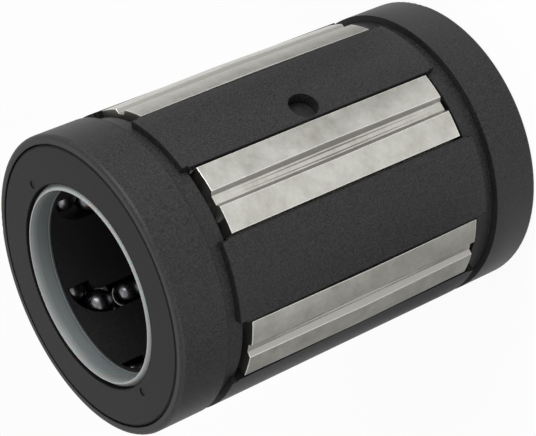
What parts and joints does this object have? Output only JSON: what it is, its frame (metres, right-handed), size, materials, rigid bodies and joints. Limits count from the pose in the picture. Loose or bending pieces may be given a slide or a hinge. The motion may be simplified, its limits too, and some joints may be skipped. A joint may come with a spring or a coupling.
{
  "type": "linear ball bearing",
  "caption": "Closed linear ball bearing: polymer sleeve with retaining-ring grooves, steel load plates that align themselves, recirculating balls and a wiper seal in each end.",
  "frame": {"origin": "centre of the rear end face, on the shaft's axis", "axes": "+Z along the shaft's axis, from the rear end face to the front one; -Y through the middle of the first load plate"},
  "size_m": [0.0398, 0.04, 0.058],
  "materials": {
    "sleeve_polymer": "fine grained matte",
    "retainer_polymer": "moulded matte",
    "cap_polymer": "fine grained matte",
    "seal_elastomer": "smooth satin",
    "plate_steel": "ground",
    "ball_steel": "polished"
  },
  "bodies": {
    "housing": {"outer_sleeve": "sleeve_polymer", "ball_retainer": "retainer_polymer", "front_end_cap": "cap_polymer", "rear_end_cap": "cap_polymer", "front_wiper_seal": "seal_elastomer", "rear_wiper_seal": "seal_elastomer", "return_balls_1": "ball_steel", "return_balls_2": "ball_steel", "return_balls_3": "ball_steel", "return_balls_4": "ball_steel", "return_balls_5": "ball_steel", "return_balls_6": "ball_steel"},
    "plate_1": {"load_plate_1": "plate_steel", "load_balls_1": "ball_steel"},
    "plate_2": {"load_plate_2": "plate_steel", "load_balls_2": "ball_steel"},
    "plate_3": {"load_plate_3": "plate_steel", "load_balls_3": "ball_steel"},
    "plate_4": {"load_plate_4": "plate_steel", "load_balls_4": "ball_steel"},
    "plate_5": {"load_plate_5": "plate_steel", "load_balls_5": "ball_steel"},
    "plate_6": {"load_plate_6": "plate_steel", "load_balls_6": "ball_steel"}
  },
  "joints": [
    {"name": "plate_1_rock", "type": "hinge", "parent": "housing", "child": "plate_1", "pos_m": [0, -0.02, 0.029], "axis": [1, 0, 0], "range_deg": [-0.5, 0.5]},
    {"name": "plate_2_rock", "type": "hinge", "parent": "housing", "child": "plate_2", "pos_m": [0.01732, -0.01, 0.029], "axis": [0.5, 0.866, 0], "range_deg": [-0.5, 0.5]},
    {"name": "plate_3_rock", "type": "hinge", "parent": "housing", "child": "plate_3", "pos_m": [0.01732, 0.01, 0.029], "axis": [-0.5, 0.866, 0], "range_deg": [-0.5, 0.5]},
    {"name": "plate_4_rock", "type": "hinge", "parent": "housing", "child": "plate_4", "pos_m": [0, 0.02, 0.029], "axis": [-1, 0, 0], "range_deg": [-0.5, 0.5]},
    {"name": "plate_5_rock", "type": "hinge", "parent": "housing", "child": "plate_5", "pos_m": [-0.01732, 0.01, 0.029], "axis": [-0.5, -0.866, 0], "range_deg": [-0.5, 0.5]},
    {"name": "plate_6_rock", "type": "hinge", "parent": "housing", "child": "plate_6", "pos_m": [-0.01732, -0.01, 0.029], "axis": [0.5, -0.866, 0], "range_deg": [-0.5, 0.5]}
  ]
}
